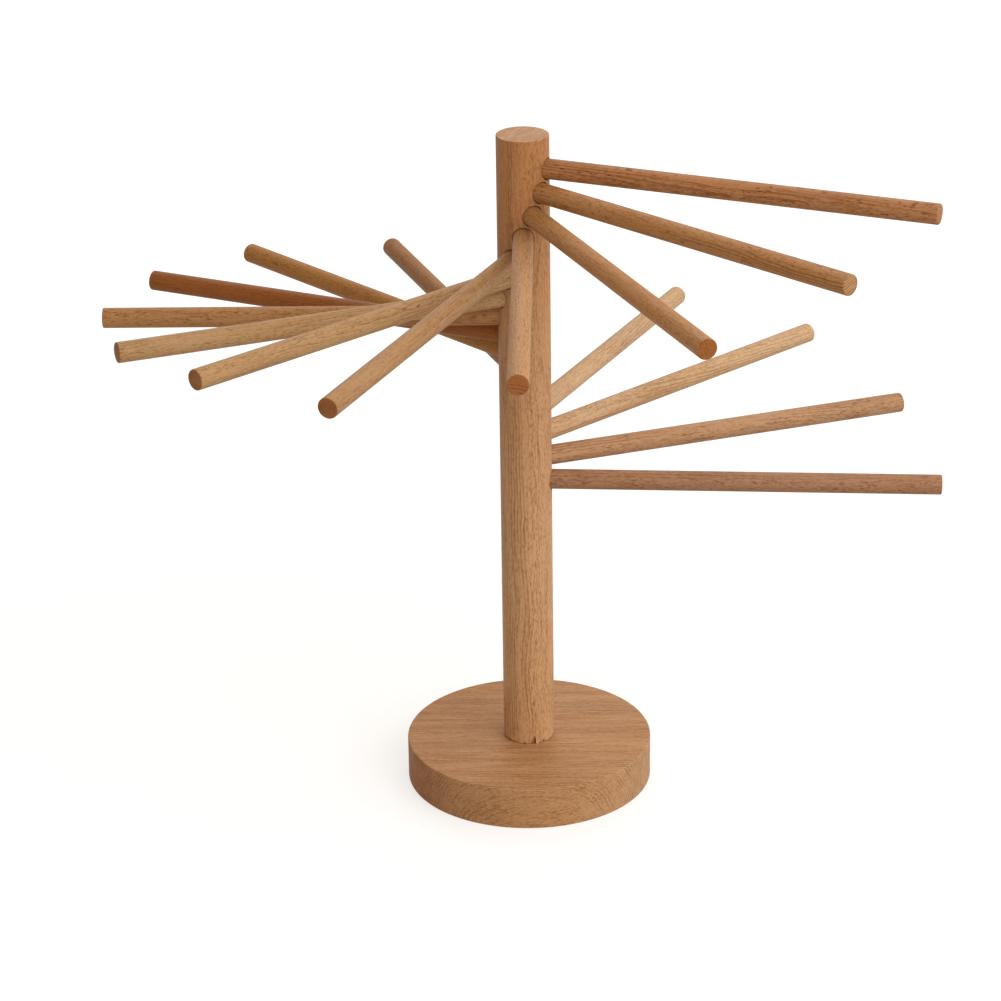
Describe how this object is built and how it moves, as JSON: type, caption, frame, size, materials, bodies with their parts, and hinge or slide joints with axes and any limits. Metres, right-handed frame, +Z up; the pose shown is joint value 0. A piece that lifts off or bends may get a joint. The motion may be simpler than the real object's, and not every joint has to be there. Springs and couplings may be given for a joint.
{
  "type": "pasta drying rack",
  "caption": "Wooden rack for drying fresh pasta: a round base, an upright post and loose straight rods that wind down the post in a spiral.",
  "frame": {"origin": "centre of the base's underside, on the table", "axes": "+Z up along the post, -Y towards the viewer of the picture, +X to that viewer's right"},
  "size_m": [0.397, 0.397, 0.33],
  "materials": {
    "beech_base": "sanded and lightly oiled, satin-matt",
    "beech_post": "sanded and lightly oiled, satin-matt",
    "beech_rod": "sanded and lightly oiled, satin-matt",
    "insert_metal": "zinc plated, dull",
    "stud_metal": "zinc plated, bright"
  },
  "bodies": {
    "base": {"base": "beech_base", "insert_nut": "insert_metal"},
    "stud": {"stud": "stud_metal"},
    "post": {"post": "beech_post"},
    "rod_01": {"rod_01": "beech_rod"},
    "rod_02": {"rod_02": "beech_rod"},
    "rod_03": {"rod_03": "beech_rod"},
    "rod_04": {"rod_04": "beech_rod"},
    "rod_05": {"rod_05": "beech_rod"},
    "rod_06": {"rod_06": "beech_rod"},
    "rod_07": {"rod_07": "beech_rod"},
    "rod_08": {"rod_08": "beech_rod"},
    "rod_09": {"rod_09": "beech_rod"},
    "rod_10": {"rod_10": "beech_rod"},
    "rod_11": {"rod_11": "beech_rod"},
    "rod_12": {"rod_12": "beech_rod"},
    "rod_13": {"rod_13": "beech_rod"},
    "rod_14": {"rod_14": "beech_rod"},
    "rod_15": {"rod_15": "beech_rod"},
    "rod_16": {"rod_16": "beech_rod"}
  },
  "joints": [
    {"name": "stud_rise", "type": "slide", "parent": "base", "child": "stud", "axis": [0, 0, 1], "range_m": [0, 0.0135]},
    {"name": "post_turn", "type": "hinge", "parent": "stud", "child": "post", "pos_m": [0, 0, 0.021], "axis": [0, 0, 1], "range_deg": [0, 4860]},
    {"name": "rod_01_pull", "type": "slide", "parent": "post", "child": "rod_01", "axis": [0.9265, -0.3762, -0.0035], "range_m": [0, 0.012]},
    {"name": "rod_02_pull", "type": "slide", "parent": "post", "child": "rod_02", "axis": [0.6978, -0.7163, 0.007], "range_m": [0, 0.012]},
    {"name": "rod_03_pull", "type": "slide", "parent": "post", "child": "rod_03", "axis": [0.3811, -0.9245, -0.0035], "range_m": [0, 0.012]},
    {"name": "rod_04_pull", "type": "slide", "parent": "post", "child": "rod_04", "axis": [-0.0148, -0.9999, 0.0035], "range_m": [0, 0.012]},
    {"name": "rod_05_pull", "type": "slide", "parent": "post", "child": "rod_05", "axis": [-0.4177, -0.9082, -0.0279], "range_m": [0, 0.012]},
    {"name": "rod_06_pull", "type": "slide", "parent": "post", "child": "rod_06", "axis": [-0.7163, -0.6978, 0.0105], "range_m": [0, 0.012]},
    {"name": "rod_07_pull", "type": "slide", "parent": "post", "child": "rod_07", "axis": [-0.9218, -0.3875, 0.0105], "range_m": [0, 0.012]},
    {"name": "rod_08_pull", "type": "slide", "parent": "post", "child": "rod_08", "axis": [-0.9999, 0.0113, 0], "range_m": [0, 0.012]},
    {"name": "rod_09_pull", "type": "slide", "parent": "post", "child": "rod_09", "axis": [-0.9198, 0.3923, 0.0105], "range_m": [0, 0.012]},
    {"name": "rod_10_pull", "type": "slide", "parent": "post", "child": "rod_10", "axis": [-0.7026, 0.7113, 0.0209], "range_m": [0, 0.012]},
    {"name": "rod_11_pull", "type": "slide", "parent": "post", "child": "rod_11", "axis": [-0.3486, 0.9373, 0.007], "range_m": [0, 0.012]},
    {"name": "rod_12_pull", "type": "slide", "parent": "post", "child": "rod_12", "axis": [0.0288, 0.9996, 0], "range_m": [0, 0.012]},
    {"name": "rod_13_pull", "type": "slide", "parent": "post", "child": "rod_13", "axis": [0.405, 0.914, -0.0244], "range_m": [0, 0.012]},
    {"name": "rod_14_pull", "type": "slide", "parent": "post", "child": "rod_14", "axis": [0.7331, 0.6801, 0.007], "range_m": [0, 0.012]},
    {"name": "rod_15_pull", "type": "slide", "parent": "post", "child": "rod_15", "axis": [0.9385, 0.3453, -0.0035], "range_m": [0, 0.012]},
    {"name": "rod_16_pull", "type": "slide", "parent": "post", "child": "rod_16", "axis": [0.999, -0.0427, -0.0105], "range_m": [0, 0.012]}
  ],
  "couplings": [
    {"joint": "stud_rise", "follows": "post_turn", "m_per_rad": 0.00015915}
  ]
}
